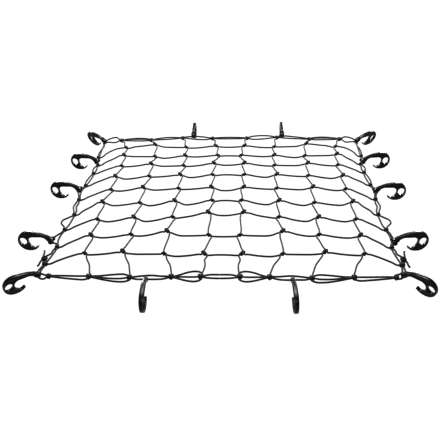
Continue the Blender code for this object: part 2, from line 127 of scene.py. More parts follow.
# Where a free stretch is set off its straight line, as shares of the stretch, and by how much
Wave = namedtuple("Wave", "at_start before_middle after_middle at_end")
WAVE_PLACES = Wave(0.12, 0.3, 0.6, 0.88)
WAVE_SHAPE = Wave(-0.6, -1, -0.75, -0.1)      # shares of a stretch's bow
MIDDLE_SHAPE = Wave(-0.5, -1, -1, -0.5)
FROM_BORDER = Wave(-8, -3, 4, 2)
LAST_FROM_BORDER = Wave(0, 14, 24, 12)
Bow = namedtuple("Bow", "at_back middle at_front")
BOW_PLACES = Bow(0.28, 0.5, 0.78)
LENGTHWISE = Bow(8, 4, -1)
TO_FRONT_BORDER = Bow(4, 8, 5)

# Each hook's eye. The heading is 0 to the front and 90 to the side, and the lean is over to the front, both
# in degrees.
Eye = namedtuple("Eye", "x y heading lean")
RIGHT_EYES = (
    Eye(217, -567, 3.5, 0),
    Eye(555, -512, 45, 12),
    Eye(566, -322, 95, 0),
    Eye(568, 35, 90, 0),
    Eye(562, 300, 97, 0),
    Eye(564, 506, 123, 17),
    Eye(238, 572, 180, 0),
)
LEFT_EYES = (
    Eye(221, -567, 0, 0),
    Eye(565, -519, 51, 12),
    Eye(582, -318, 90, 0),
    Eye(575, 51, 91, 0),
    Eye(561, 309, 94, 0),
    Eye(567, 516, 126, 17),
    Eye(168, 572, 180, 0),
)
# Places in those tables
FRONT_HOOK, FRONT_CORNER, BACK_CORNER, BACK_HOOK = 0, 1, 5, 6
SIDE_HOOKS = slice(2, 5)
TIE_KNOT = (571, -430)    # where the border cord's ends are tied

# ---- How each cord runs through a knot: outwards, back and up from the knot's middle ----

# The cross cord arrives, coils round the lengthwise cord and leaves. The lengthwise cord goes through.
KnotShape = namedtuple("KnotShape", "arrive coil_from coil_to coil_out coil_up coil_turns leave through")
KNOT_HIGH = KnotShape(
    arrive=((17, -3, -1), (11, -4, -1), (7, -1.5, 0.5), (8, 3, 2.5), (8.5, 6, 4.5), (5, 6.5, 5)),
    coil_from=(1, 4), coil_to=(-3.5, -6), coil_out=4.1, coil_up=4.0, coil_turns=2.25,
    leave=((-7, -7.5, -0.5), (-13, -9, -1)),
    through=((3, 16, 0), (1, 10, 0.5), (-1.5, 4, 2), (-5, -2, 3.5), (-8, -8, 2.5), (-9.5, -14, 0.5),
             (-9, -19, 0)),
)
KNOT_LOW = KnotShape(
    arrive=((15, -2, -1), (9.5, -2.5, -0.5), (6, 0.5, 1.5)),
    coil_from=(1.5, 3), coil_to=(-2.5, -3.5), coil_out=3.6, coil_up=3.5, coil_turns=1.75,
    leave=((-6, -5, -1), (-13, -8, -1)),
    through=((2, 15, 0), (0.5, 8, 0.5), (-2, 3, 1.5), (-6, -2, 3), (-9, -7, 2.5), (-10.5, -12, 0.5),
             (-10, -18, 0)),
)
KNOT_REACH = 19.0         # a free stretch has no point nearer to a knot than this

# Border knots: half the size of the turns, out of the net and up, how far they run along the border and
# how many they are, and the same for the turns that go back over them
JointShape = namedtuple("JointShape", "out up run turns over_out over_up over_run over_turns")
END_JOINT = JointShape(6.4, 4.8, 15, 2.5, 8.8, 6.2, 10, 1.0)
SIDE_JOINT = JointShape(5.2, 4.6, 9, 1.75, 6.4, 5.4, 8, 0.5)
TIED_JOINT = JointShape(5.8, 5.0, 11, 2.25, 7.4, 6.0, 6, 0.75)     # corner tie and first cross cord
TURN_STEPS = 8            # points in a turn
INTO_NET = 12.0           # a cord points straight into the net this far from its border knot
STRAND_APART = 2.5        # from a border knot's middle to the middle of each strand in it
JOINT_RUN = 5.0           # half of a strand's straight way through a border knot
EYE_RUN = 9.0             # the same through a hook's eye
TIE_RUN = 14.0            # and through the knot of the tied ends

TUBE_SIDES = 10
TUBE_STEP = 4.0           # longest step along a cord


def net_height(x, y):
    """Height of the net's cords over the floor, which sags from the border to the middle."""
    across = max(0.0, 1 - (x / HALF_WIDTH) ** 2)
    along = max(0.0, 1 - (y / HALF_DEPTH) ** 2)
    return HOOK_FLAT_DROP - SAG * across * along


def at(x, y, up=0.0):
    return Vector((x, y, net_height(x, y) + up))


# ---- Tubes ----

def knot_times(points):
    """Centripetal knot values of a Catmull-Rom curve, which keep it from overshooting."""
    times = [0.0]
    for a, b in zip(points, points[1:]):
        times.append(times[-1] + max((b - a).length, 1e-4) ** 0.5)
    return times


def smooth(points, closed=False):
    """Points a few millimetres apart on a smooth curve through the given ones."""
    count = len(points)
    if closed:
        ring = [points[-1], *points, points[0], points[1]]
    else:
        ring = [points[0] * 2 - points[1], *points, points[-1] * 2 - points[-2]]
    out = []
    for index in range(count if closed else count - 1):
        quad = ring[index:index + 4]
        t0, t1, t2, t3 = knot_times(quad)
        p0, p1, p2, p3 = quad
        steps = max(1, ceil((p2 - p1).length / TUBE_STEP))
        for step in range(steps):
            t = t1 + (t2 - t1) * step / steps
            a1 = p0.lerp(p1, (t - t0) / (t1 - t0))
            a2 = p1.lerp(p2, (t - t1) / (t2 - t1))
            a3 = p2.lerp(p3, (t - t2) / (t3 - t2))
            b1 = a1.lerp(a2, (t - t0) / (t2 - t0))
            b2 = a2.lerp(a3, (t - t1) / (t3 - t1))
            out.append(b1.lerp(b2, (t - t1) / (t2 - t1)))
    if not closed:
        out.append(points[-1].copy())
    return out


class CordMesh:
    """Several round cords in one mesh, with the way along each cord in its UV map, in metres."""

    def __init__(self, name):
        self.name = name
        self.corners = []
        self.faces = []
        self.uvs = []

    def add(self, control, radius=CORD_RADIUS, closed=False):
        line = smooth(control, closed)
        ahead = [(b - a).normalized() for a, b in zip(line, line[1:] + line[:1])]
        if not closed:
            ahead[-1] = ahead[-2]
        before = ahead[-1] if closed else ahead[0]
        tangents = [(a + b).normalized() for a, b in zip([before, *ahead], ahead)]
        normal = tangents[0].cross(Vector((0, 0, 1)))
        if normal.length < 0.1:
            normal = tangents[0].cross(Vector((1, 0, 0)))
        first = len(self.corners)
        along = [0.0]
        for index, (place, tangent) in enumerate(zip(line, tangents)):
            normal = (normal - tangent * normal.dot(tangent)).normalized()
            side = tangent.cross(normal)
            for k in range(TUBE_SIDES):
                angle = 2 * pi * k / TUBE_SIDES
                self.corners.append(place + (normal * cos(angle) + side * sin(angle)) * radius)
            if index + 1 < len(line):
                along.append(along[-1] + (line[index + 1] - place).length * MM)
        rings = len(line)
        spans = rings if closed else rings - 1
        along.append(along[-1] + (line[0] - line[-1]).length * MM)
        for i in range(spans):
            j = (i + 1) % rings
            for k in range(TUBE_SIDES):
                m = (k + 1) % TUBE_SIDES
                self.faces.append(tuple(first + v for v in (
                    i * TUBE_SIDES + k, i * TUBE_SIDES + m, j * TUBE_SIDES + m, j * TUBE_SIDES + k)))
                low, high = k / TUBE_SIDES, (k + 1) / TUBE_SIDES
                self.uvs += [(low, along[i]), (high, along[i]), (high, along[i + 1]), (low, along[i + 1])]
        if not closed:
            for ring, order in ((0, -1), (rings - 1, 1)):
                cap = [first + ring * TUBE_SIDES + k for k in range(TUBE_SIDES)][::order]
                self.faces.append(tuple(cap))
                self.uvs += [(0.5, along[ring])] * TUBE_SIDES

    def build(self, finish):
        mesh = bpy.data.meshes.new(self.name)
        mesh.from_pydata([(c - PART_MIDDLE) * MM for c in self.corners], [], self.faces)
        layer = mesh.uv_layers.new(name="along_cord")
        for loop, uv in zip(layer.data, self.uvs):
            loop.uv = uv
        mesh.shade_smooth()
        mesh.materials.append(finish)
        piece = bpy.data.objects.new(self.name, mesh)
        bpy.context.scene.collection.objects.link(piece)
        return piece


# ---- Knots and border joints ----

def knot_middle(side, row, column):
    x, y = KNOTS[row][column]
    return at(side * x + KNOTS_RIGHTWARDS, y)


def knot_shape(row, column):
    return KNOT_HIGH if (row + column) % 2 == 1 else KNOT_LOW


def placed(middle, side, route):
    return [middle + Vector((side * out, back, up)) for out, back, up in route]


def knot_route(middle, side, shape):
    """The cross cord's way through a knot: in over the knot, a coil round the other cord, and out."""
    route = list(shape.arrive)
    steps = round(shape.coil_turns * TURN_STEPS)
    slant = (Vector(shape.coil_to) - Vector(shape.coil_from)).normalized()
    for step in range(steps + 1):
        share = step / steps
        angle = pi / 2 + 2 * pi * shape.coil_turns * share
        out, back = Vector(shape.coil_from).lerp(Vector(shape.coil_to), share)
        aside = shape.coil_out * cos(angle)
        route.append((out - slant.y * aside, back + slant.x * aside, shape.coil_up * sin(angle)))
    return placed(middle, side, [*route, *shape.leave])


def turns(middle, out, run, size, count, first_angle, first_run, last_run):
    """Points of an oval coil round the border, whose angle is 0 out of the net and 90 degrees on top."""
    points = []
    steps = round(count * TURN_STEPS)
    for step in range(steps + 1):
        share = step / steps
        angle = first_angle + 2 * pi * count * share
        along = first_run + (last_run - first_run) * share
        points.append(middle + out * size[0] * cos(angle) + run * along
                      + Vector((0, 0, size[1] * sin(angle))))
    return points


def joint_wrap(middle, out, run, shape):
    """Turns of a cord round the border's strands and back over them, then on its way into the net."""
    half, over = shape.run / 2, shape.over_run / 2
    points = turns(middle, out, run, (shape.out, shape.up), shape.turns, 0.0, -half, half)
    points += turns(middle, out, run, (shape.over_out, shape.over_up), shape.over_turns,
                    3 * pi / 4, over, -over)
    points.append(middle - out * INTO_NET + Vector((0, 0, -1)))
    return points


def free_points(start, end, places, offsets, direction):
    """Points of a stretch that lie clear of the knots at its ends."""
    points = []
    for place, offset in zip(places, offsets):
        spot = start.lerp(end, place)
        if min((spot - start).length, (spot - end).length) > KNOT_REACH:
            points.append(at(spot.x + direction[0] * offset, spot.y + direction[1] * offset))
    return points


def cross_half(side, row):
    """One half of a cross cord, from its border knot to its innermost knot."""
    cord = CROSS_CORDS[row]
    joint = at(side * cord.side_x, cord.side_y)
    shape = SIDE_JOINT if row else TIED_JOINT
    points = joint_wrap(joint, Vector((side, 0, 0)), Vector((0, -1, 0)), shape)
    last_row = row == len(CROSS_CORDS) - 1
    start = joint
    for column in range(len(LENGTH_CORDS)):
        knot = knot_middle(side, row, column)
        if column == 0:
            wave = LAST_FROM_BORDER if last_row else FROM_BORDER
        else:
            bow = (cord.bow_1, cord.bow_2, cord.bow_3)[column - 1]
            wave = [bow * share for share in WAVE_SHAPE]
        points += free_points(start, knot, WAVE_PLACES, wave, (0, 1))
        points += knot_route(knot, side, knot_shape(row, column))
        start = knot
    return points


def add_cross_cords(mesh):
    for row, cord in enumerate(CROSS_CORDS):
        innermost = len(LENGTH_CORDS) - 1
        ends = [knot_middle(side, row, innermost) for side in (-1, 1)]
        wave = [cord.middle_bow * share for share in MIDDLE_SHAPE]
        middle = free_points(*ends, WAVE_PLACES, wave, (0, 1))
        mesh.add([*cross_half(-1, row), *middle, *reversed(cross_half(1, row))], CROSS_CORD_RADIUS)


def add_length_cords(mesh):
    for side in (-1, 1):
        inwards = (-side, 0)
        for column, cord in enumerate(LENGTH_CORDS):
            back = at(side * cord.back_x, cord.back_y)
            points = joint_wrap(back, Vector((0, 1, 0)), Vector((side, 0, 0)), END_JOINT)
            start = back
            for row in reversed(range(len(CROSS_CORDS))):
                knot = knot_middle(side, row, column)
                points += free_points(start, knot, BOW_PLACES, LENGTHWISE, inwards)
                points += placed(knot, side, knot_shape(row, column).through)
                start = knot
            front = at(side * cord.front_x, cord.front_y)
            points += free_points(start, front, BOW_PLACES, TO_FRONT_BORDER, inwards)
            points += reversed(joint_wrap(front, Vector((0, -1, 0)), Vector((side, 0, 0)), END_JOINT))
            mesh.add(points, LENGTH_CORD_RADIUS)


# ---- The border's strands ----

def border_joints(side):
    """Middles of the border knots of one half, from the front's middle round to the back's."""
    front = [at(side * cord.front_x, cord.front_y) for cord in reversed(LENGTH_CORDS)]
    front.append(at(side * CORNER_TIE[0], CORNER_TIE[1]))
    flank = [at(side * cord.side_x, cord.side_y) for cord in CROSS_CORDS]
    back = [at(side * cord.back_x, cord.back_y) for cord in LENGTH_CORDS]
    return front, flank, back


# Each stretch of the border from knot to knot: where its strands run, as a share of the stretch, and how
# far into the net (or out of it, if negative), from the front's middle outwards. The end nearest to the
# middle is 0.
FRONT_INNER = (
    ((0.2, 10), (0.5, 11), (0.8, 10)),
    ((-0.06, 9), (0.02, 24), (0.2, 29), (0.45, 24), (0.75, 9)),
    ((0.25, 5), (0.5, 10), (0.75, 7)),
    ((0.02, 8), (0.16, 17), (0.45, 13), (0.75, 5)),
    ((0.3, 2), (0.7, 3)),
)
FRONT_OUTER = (
    ((0.2, -7), (0.5, -9), (0.8, -7)),
    ((-0.04, -9), (0.04, -20), (0.2, -25), (0.45, -21), (0.75, -10)),
    ((0.2, -10), (0.85, -8)),
    ((-0.02, -9), (0.08, -20), (0.3, -22), (0.6, -15), (0.8, -8)),
    ((0.0, -9), (0.1, -16), (0.35, -14), (0.7, -8)),
)
FRONT_THIRD = {1: ((0.25, -3), (0.6, -2)), 3: ((0.2, -7), (0.5, -8), (0.8, -3))}
BACK_INNER = (
    ((0.25, 6), (0.5, 7), (0.75, 6)),
    ((0.15, 14), (0.45, 16), (0.8, 6)),
    ((0.3, 5), (0.6, 5)),
    ((0.1, 8), (0.5, 9), (0.85, 5)),
)
BACK_OUTER_RIGHT = (
    ((0.25, -8), (0.5, -10), (0.75, -8)),
    ((0.1, -14), (0.4, -24), (0.75, -18)),
    ((0.6, -14), (0.85, -8)),
    ((0.1, -12), (0.45, -20), (0.85, -10)),
)
BACK_OUTER_LEFT = (
    ((0.25, -8), (0.5, -10), (0.75, -8)),
    ((0.3, -14), (0.9, -10)),
    ((0.2, -9), (0.5, -16), (0.8, -9)),
    ((0.1, -12), (0.45, -20), (0.85, -10)),
)
BACK_THIRD = {3: ((0.15, -5), (0.5, -8), (0.85, -4))}
# The side border's strands between its knots, from the front to the back
SIDE_INNER = (
    ((0.3, 3), (0.7, 4)),
    ((0.3, -5), (0.7, -4)),
    ((0.3, 5), (0.7, 4)),
    ((0.25, 4), (0.5, -1), (0.75, 3)),
    ((0.35, -4), (0.7, -5)),
    ((0.3, 4), (0.7, 5)),
    ((0.3, 5), (0.7, 3)),
    ((0.3, 0), (0.7, -3)),
)
SIDE_OUTER = (
    ((0.6, -4), (0.8, -5)),
    ((0.15, -4), (0.8, -8)),
    ((0.2, -10), (0.42, -27), (0.62, -28), (0.82, -12)),
    ((0.25, -6), (0.5, -12), (0.75, -8)),
    ((0.2, -6), (0.85, -6)),
    ((0.25, -8), (0.5, -8), (0.75, -6)),
    ((0.3, -9), (0.6, -10)),
    ((0.25, -6), (0.85, -5)),
)
# The strands beside the corner hooks, counted from the hook's eye: outwards, back and up
INNER_FRONT_TURN = ((-24, -1, 1), (-13, 3, 1), (-6, 9, 0), (-1, 16, 0))
OUTER_FRONT_TURN = ((-23, -18, -1), (-12, -17, -1), (-3, -10, 0))
INNER_BACK_TURN = ((-4, -52, 2), (-5, -20, 0), (-10, -6, 0), (-24, -1, -2), (-46, -2, -3))
OUTER_BACK_TURN = ((-26, 33, 4), (-46, 38, 5))
SIDE_TO_CORNER = ((568, 385), (566, 425), (561, 465))      # the outer strand behind the last cross cord
SIDE_HOOK_STRETCHES = {1: 2, 4: 3, 7: 4}      # the side's stretches with a hook, and its place in the table
BACK_HOOK_STRETCH = {1: 2, -1: 1}             # the back's stretch with a hook, on the right and on the left


def bowed(start, end, shape, inwards, up=0.0):
    points = []
    for place, bow in shape:
        spot = start.lerp(end, place)
        points.append(at(spot.x + inwards.x * bow, spot.y + inwards.y * bow, up))
    return points


def through_joint(joint, inwards, depth, run):
    """Two points that take a strand straight through a border knot."""
    middle = joint + inwards * depth
    return [middle - run * JOINT_RUN, middle + run * JOINT_RUN]


def eye_height(dip, lean):
    """Height of an eye over the floor when its hook dips and leans over by some angles."""
    upright = HOOK_FLAT_DROP * cos(lean) + HOOK_THICK / 2 * abs(sin(lean))
    return upright * cos(dip) + (HOOK_FLAT_END * sin(dip) if dip else 0.0)


def eye_frames(side):
    """Frames of one half's hook eyes, with X out of the net, Y up and Z along the border."""
    frames = []
    for index, eye in enumerate(RIGHT_EYES if side > 0 else LEFT_EYES):
        dip = radians(HOOK_DIP) if index == FRONT_HOOK else 0.0
        heading, lean = radians(eye.heading), radians(eye.lean)
        level_run = Vector((side * cos(heading), sin(heading), 0))
        out = Vector((side * sin(heading), -cos(heading), 0))
        x_axis = out * cos(dip) + Vector((0, 0, -sin(dip)))
        upright = out * sin(dip) + Vector((0, 0, cos(dip)))
        y_axis = upright * cos(lean) - level_run * sin(lean)
        turn = Matrix((x_axis, y_axis, x_axis.cross(y_axis))).transposed().to_4x4()
        run = level_run * cos(lean) + upright * sin(lean)
        place = Vector((side * eye.x, eye.y, eye_height(dip, lean)))
        frames.append((Matrix.Translation(place) @ turn, run))
    return frames


def through_eye(eye):
    middle, run = eye[0].translation, eye[1]
    return [middle - run * EYE_RUN, middle + run * EYE_RUN]


def round_corner(side, index, turn):
    """Points of a strand beside a corner hook, whose turn is counted from the hook's eye."""
    eye = (RIGHT_EYES if side > 0 else LEFT_EYES)[index]
    return [at(side * (eye.x + out), eye.y + back, up) for out, back, up in turn]


def half_strand(side, outer):
    """One half of the inner or the outer strand, from the front's middle round to the back's."""
    front, flank, back = border_joints(side)
    eyes = eye_frames(side)
    depth = -STRAND_APART if outer else STRAND_APART
    to_back, to_front, to_middle = Vector((0, 1, 0)), Vector((0, -1, 0)), Vector((-side, 0, 0))
    outwards = -to_middle
    shapes = FRONT_OUTER if outer else FRONT_INNER
    mirror = Vector((-front[0].x, front[0].y, front[0].z))
    points = bowed(mirror, front[0], [s for s in shapes[0] if s[0] >= 0.5], to_back)
    for index, joint in enumerate(front):
        points += through_joint(joint, to_back, depth, outwards)
        if index + 1 < len(front):
            stretch = bowed(joint, front[index + 1], shapes[index + 1], to_back)
            if outer and index == 1:
                stretch[1:1] = through_eye(eyes[FRONT_HOOK])
            points += stretch
    if outer:
        points += round_corner(side, FRONT_CORNER, OUTER_FRONT_TURN)
        points += through_eye(eyes[FRONT_CORNER])
    else:
        points += round_corner(side, FRONT_CORNER, INNER_FRONT_TURN)
    shapes = SIDE_OUTER if outer else SIDE_INNER
    for index, joint in enumerate(flank):
        points += through_joint(joint, to_middle, depth, to_back)
        if index + 1 < len(flank):
            stretch = bowed(joint, flank[index + 1], shapes[index], to_middle)
            if outer and index == 0:
                tie = at(side * TIE_KNOT[0], TIE_KNOT[1])
                stretch[0:0] = [tie + to_front * TIE_RUN, tie + to_back * TIE_RUN]
            if outer and index in SIDE_HOOK_STRETCHES:
                stretch[1:1] = through_eye(eyes[SIDE_HOOK_STRETCHES[index]])
            points += stretch
    if outer:
        points += [at(side * x, y) for x, y in SIDE_TO_CORNER]
        points += through_eye(eyes[BACK_CORNER])
        points += round_corner(side, BACK_CORNER, OUTER_BACK_TURN)
    else:
        points += round_corner(side, BACK_CORNER, INNER_BACK_TURN)
    shapes = (BACK_OUTER_RIGHT if side > 0 else BACK_OUTER_LEFT) if outer else BACK_INNER
    for index, joint in enumerate(back):
        points += through_joint(joint, to_front, depth, to_middle)
        number = len(back) - 1 - index
        if index + 1 < len(back):
            stretch = bowed(back[index + 1], joint, shapes[number], to_front)
            if outer and number == BACK_HOOK_STRETCH[side]:
                spot = 0 if side > 0 else 1
                stretch[spot:spot] = reversed(through_eye(eyes[BACK_HOOK]))
            points += reversed(stretch)
    mirror = Vector((-back[-1].x, back[-1].y, back[-1].z))
    points += reversed(bowed(mirror, back[-1], [s for s in shapes[0] if s[0] > 0.5], to_front))
    return points


def add_border_strand(mesh, outer):
    right = half_strand(1, outer)
    left = half_strand(-1, outer)
    mesh.add([*right, *reversed(left[1:])], closed=True)


def add_third_strands(mesh):
    """The third strand in some stretches, which ends inside the border knots beside it."""
    for side in (-1, 1):
        front, _, back = border_joints(side)
        for joints, shapes, inwards in ((front, FRONT_THIRD, Vector((0, 1, 0))),
                                        (back[::-1], BACK_THIRD, Vector((0, -1, 0)))):
            for index, shape in shapes.items():
                start, end = joints[index - 1], joints[index]
                middle = bowed(start, end, shape, inwards, 1.0)
                away = (end - start).normalized()
                mesh.add([start - away * 4, start + away * 5, *middle, end - away * 5, end + away * 4])


def add_corner_ties(mesh):
    for side in (-1, 1):
        tie = at(side * CORNER_TIE[0], CORNER_TIE[1])
        wrap = joint_wrap(tie, Vector((0, -1, 0)), Vector((side, 0, 0)), TIED_JOINT)
        mesh.add(wrap[:-1] + [tie + Vector((0, 3, 0))])


# ---- Lashings at the hooks and tie knots ----

LASHING_RADIUS = 1.9      # the cord is stretched there, so it is thinner
LASHING_TURNS = 2.5
LASHING_STEPS = 20
LASHING_FROM = 4.0        # where it lies, from the eye's middle along the hook's neck
LASHING_TO = 13.0
LASHING_RISE = 2.0        # height of the neck's middle over the eye, and its slope
LASHING_SLOPE = 0.62
LASHING_HALF_WIDTH = HOOK_THICK / 2 + LASHING_RADIUS
LASHING_HALF_HEIGHT = 8.6
LASHING_SQUARENESS = 0.6  # 1 is an oval turn, less is squarer, as the neck's section is


def add_lashing(mesh, eye):
    """Turns of the border cord round the neck of a hook, beside its eye."""
    points = []
    for step in range(LASHING_STEPS + 1):
        share = step / LASHING_STEPS
        angle = 2 * pi * LASHING_TURNS * share - pi / 2
        along = LASHING_FROM + (LASHING_TO - LASHING_FROM) * share
        middle_up = LASHING_RISE + along * LASHING_SLOPE
        flat = abs(cos(angle)) ** LASHING_SQUARENESS * (1 if cos(angle) > 0 else -1)
        points.append(eye[0] @ Vector((along, middle_up + LASHING_HALF_HEIGHT * sin(angle),
                                       LASHING_HALF_WIDTH * flat)))
    strand, run = eye[0].translation, eye[1]
    points[0:0] = [strand - run * 12, strand - run * 8 + Vector((0, 0, -4))]
    points.append(strand + run * 12)
    mesh.add(points, LASHING_RADIUS)


COLLAR_RADIUS = 2.4
COLLAR_OUT = 7.2          # half the size of the turns beside a hook's eye, out of the net and up
COLLAR_UP = 5.6
COLLAR_TURNS = 1.75
COLLAR_FROM = 7.5         # where they lie, from the eye's middle along the border
COLLAR_TO = 14.0
COLLAR_INWARDS = 2.5


def add_collars(mesh, eye):
    """Turns of cord round both strands of the border, on both sides of a hook's eye."""
    run = eye[1]
    out = Vector((run.y, -run.x, 0)).normalized()
    if eye[0].translation.dot(out) < 0:
        out.negate()
    middle = eye[0].translation - out * COLLAR_INWARDS
    for way in (-1, 1):
        points = turns(middle, out, run * way, (COLLAR_OUT, COLLAR_UP), COLLAR_TURNS, pi / 2,
                       COLLAR_FROM, COLLAR_TO)
        mesh.add(points, COLLAR_RADIUS)


TIE_WRAP_OUT = 4.9
TIE_TURNS = 3
TIE_LENGTH = 15.0
TIE_SWELL = 0.18          # the turns are wider in two places by this share
# Points along the tie knot, counted back, out of the net and up from its middle
TIE_OVER = ((-8, 2, -4), (-6, 6.5, 2), (-2, 7, 4), (2, 3, 7.5), (6, -3, 6), (8, -5, 1))
TAIL_FORWARD = ((-6, 5.6, 1), (-12, 8, 1), (-18, 9.5, 0), (-26, 10.5, -2), (-35, 13.5, -4))
TAIL_BACK = ((6, 5.6, 1), (13, 8, 1), (22, 9, 1.5), (34, 10, 2), (46, 13.5, 1))


def build_tie_knot(side, finish):
    mesh = CordMesh("tied_ends_" + ("right" if side > 0 else "left"))
    middle = at(side * TIE_KNOT[0], TIE_KNOT[1])
    out, back, up = Vector((side, 0, 0)), Vector((0, 1, 0)), Vector((0, 0, 1))
    steps = TIE_TURNS * TURN_STEPS
    points = []
    for step in range(steps + 1):
        share = step / steps
        angle = 2 * pi * TIE_TURNS * share
        swell = 1 + TIE_SWELL * sin(2 * pi * share * 2) ** 2
        points.append(middle + back * TIE_LENGTH * (share - 0.5)
                      + (out * cos(angle) + up * sin(angle)) * TIE_WRAP_OUT * swell)
    mesh.add(points)
    mesh.add([middle + out * x + back * y + up * z for y, x, z in TIE_OVER])
    for route in (TAIL_FORWARD, TAIL_BACK):
        start = middle + back * route[0][0] * 0.4 + out * 3
        mesh.add([start, *(middle + back * y + out * x + up * z for y, x, z in route)])
    piece = mesh.build(finish)
    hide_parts("tie_knot_" + ("right" if side > 0 else "left"))
    return piece


# ---- Hooks ----

HookPoint = namedtuple("HookPoint", "along up sharp")
DIP_FLAT_RISE = HOOK_DIP_FLAT * tan(radians(HOOK_DIP))
HOOK_OUTLINE = (
    HookPoint(-7, 1, False),
    HookPoint(-3.5, 8, False),
    HookPoint(9, 15.5, False),
    HookPoint(30, 25.5, False),
    HookPoint(55, 31.5, False),
    HookPoint(78, 33.5, False),
    HookPoint(95, 29.5, False),
    HookPoint(106.5, 18.5, False),
    HookPoint(112, 0, False),
    HookPoint(106.5, -20.5, False),
    HookPoint(HOOK_FLAT_END + HOOK_DIP_FLAT, DIP_FLAT_RISE - HOOK_FLAT_DROP, True),
    HookPoint(HOOK_FLAT_END, -HOOK_FLAT_DROP, True),
    HookPoint(68, -HOOK_FLAT_DROP, True),
    HookPoint(55.5, -33, False),
    HookPoint(44.5, -24.5, True),
    HookPoint(47, -21.5, True),
    HookPoint(59, -28, False),
    HookPoint(72, -19.5, False),
    HookPoint(77.5, -4, False),
    HookPoint(74.5, 8, False),
    HookPoint(65, 14.5, True),
    HookPoint(30, 14.5, True),
    HookPoint(18.5, 8.5, False),
    HookPoint(7.5, -4, False),
    HookPoint(-2, -7, False),
)
FINGER_HOLE = (94.5, -2.5)
FINGER_HOLE_RADII = (13.0, 15.0)
EYE_RADIUS = 3.1
HOOK_EDGE = 1.6           # rounding of the hook's edges
EDGE_STEPS = 2
OUTLINE_STEPS = 8         # pieces of each curve between two outline points
HOLE_STEPS = 4
SHARP_EDGE = 32           # degrees
POCKET_DEPTH = 1.3
# Shallow pockets in both faces of a hook, that leave a rim all round
POCKETS = (
    ((24, 18.2), (33, 22.6), (47, 26.2), (62, 28.6), (78, 29.6), (88, 27.6), (94, 23.5), (97, 18.5),
     (90, 16.6), (84, 13.5), (77, 15.2), (68, 18.6), (50, 18.6), (34, 18.4)),
    ((60, -31.6), (66, -33.4), (80, -33.6), (92, -31), (99.5, -24.5), (101, -19.5), (96, -20.4),
     (88, -20.6), (81, -17.6), (76.5, -18.6), (70, -24.2), (65, -28.6)),
)


def add_bezier(curve, points, sharps, steps):
    spline = curve.splines.new("BEZIER")
    spline.bezier_points.add(len(points) - 1)
    spline.use_cyclic_u = True
    spline.resolution_u = steps
    for control, point, sharp in zip(spline.bezier_points, points, sharps):
        kind = "VECTOR" if sharp else "AUTO"
        control.handle_left_type = control.handle_right_type = kind
        control.co = (point[0] * MM, point[1] * MM, 0)


def oval(middle, radii, count=8):
    return [(middle[0] + radii[0] * cos(2 * pi * k / count), middle[1] + radii[1] * sin(2 * pi * k / count))
            for k in range(count)]


def plate(name, outlines, half_thickness, edge):
    """A flat mesh of some thickness inside the first outline and outside the others, edges rounded."""
    curve = bpy.data.curves.new(name, "CURVE")
    curve.dimensions = "2D"
    curve.fill_mode = "BOTH"
    curve.extrude = (half_thickness - edge) * MM
    curve.bevel_depth = edge * MM
    curve.bevel_resolution = EDGE_STEPS
    curve.offset = -edge * MM
    for points, sharps, steps in outlines:
        add_bezier(curve, points, sharps, steps)
    source = bpy.data.objects.new(name, curve)
    bpy.context.scene.collection.objects.link(source)
    depsgraph = bpy.context.evaluated_depsgraph_get()
    mesh = bpy.data.meshes.new_from_object(source.evaluated_get(depsgraph))
    bpy.data.objects.remove(source)
    welded = bmesh.new()
    welded.from_mesh(mesh)
    bmesh.ops.remove_doubles(welded, verts=welded.verts, dist=0.005 * MM)
    bmesh.ops.recalc_face_normals(welded, faces=welded.faces)
    welded.to_mesh(mesh)
    welded.free()
    return mesh


def hook_mesh(finish):
    """A hook with its eye at the origin, X along its neck to the nose, Y up and Z through its thickness."""
    outline = [(point.along, point.up) for point in HOOK_OUTLINE]
    holes = [oval((0, 0), (EYE_RADIUS, EYE_RADIUS)), oval(FINGER_HOLE, FINGER_HOLE_RADII)]
    outlines = [(outline, [point.sharp for point in HOOK_OUTLINE], OUTLINE_STEPS)]
    outlines += [(hole, [False] * len(hole), HOLE_STEPS) for hole in holes]
    body = bpy.data.objects.new("hook_blank", plate("hook_blank", outlines, HOOK_THICK / 2, HOOK_EDGE))
    bpy.context.scene.collection.objects.link(body)
    cutters = []
    for number, pocket in enumerate(POCKETS):
        shape = [(pocket, [False] * len(pocket), HOLE_STEPS)]
        for face in (-1, 1):
            block = plate("pocket", shape, POCKET_DEPTH, 0.0)
            cutter = bpy.data.objects.new(f"pocket_{number}_{face}", block)
            cutter.location.z = face * HOOK_THICK / 2 * MM
            bpy.context.scene.collection.objects.link(cutter)
            cut = body.modifiers.new(cutter.name, "BOOLEAN")
            cut.operation = "DIFFERENCE"
            cut.object = cutter
            cutters.append(cutter)
    depsgraph = bpy.context.evaluated_depsgraph_get()
    mesh = bpy.data.meshes.new_from_object(body.evaluated_get(depsgraph))
    for thing in (body, *cutters):
        bpy.data.objects.remove(thing)
    mesh.materials.clear()
    mesh.materials.append(finish)
    mesh.set_sharp_from_angle(angle=radians(SHARP_EDGE))
    return mesh


def hook_names(side):
    name = "right" if side > 0 else "left"
    return [f"hook_front_{name}", f"hook_corner_front_{name}", f"hook_{name}_1", f"hook_{name}_2",
            f"hook_{name}_3", f"hook_corner_back_{name}", f"hook_back_{name}"]


def build_hooks(finish):
    pattern = hook_mesh(finish)
    hooks = []
    for side in (-1, 1):
        for name, (eye, _) in zip(hook_names(side), eye_frames(side)):
            mesh = pattern.copy()
            place = Matrix.Translation((eye.translation - PART_MIDDLE) * MM)
            mesh.transform(place @ eye.to_3x3().to_4x4())
            hook = bpy.data.objects.new("moulded_" + name, mesh)
            bpy.context.scene.collection.objects.link(hook)
            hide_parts(name)
            hooks.append(hook)
    return hooks


# ---- Materials ----

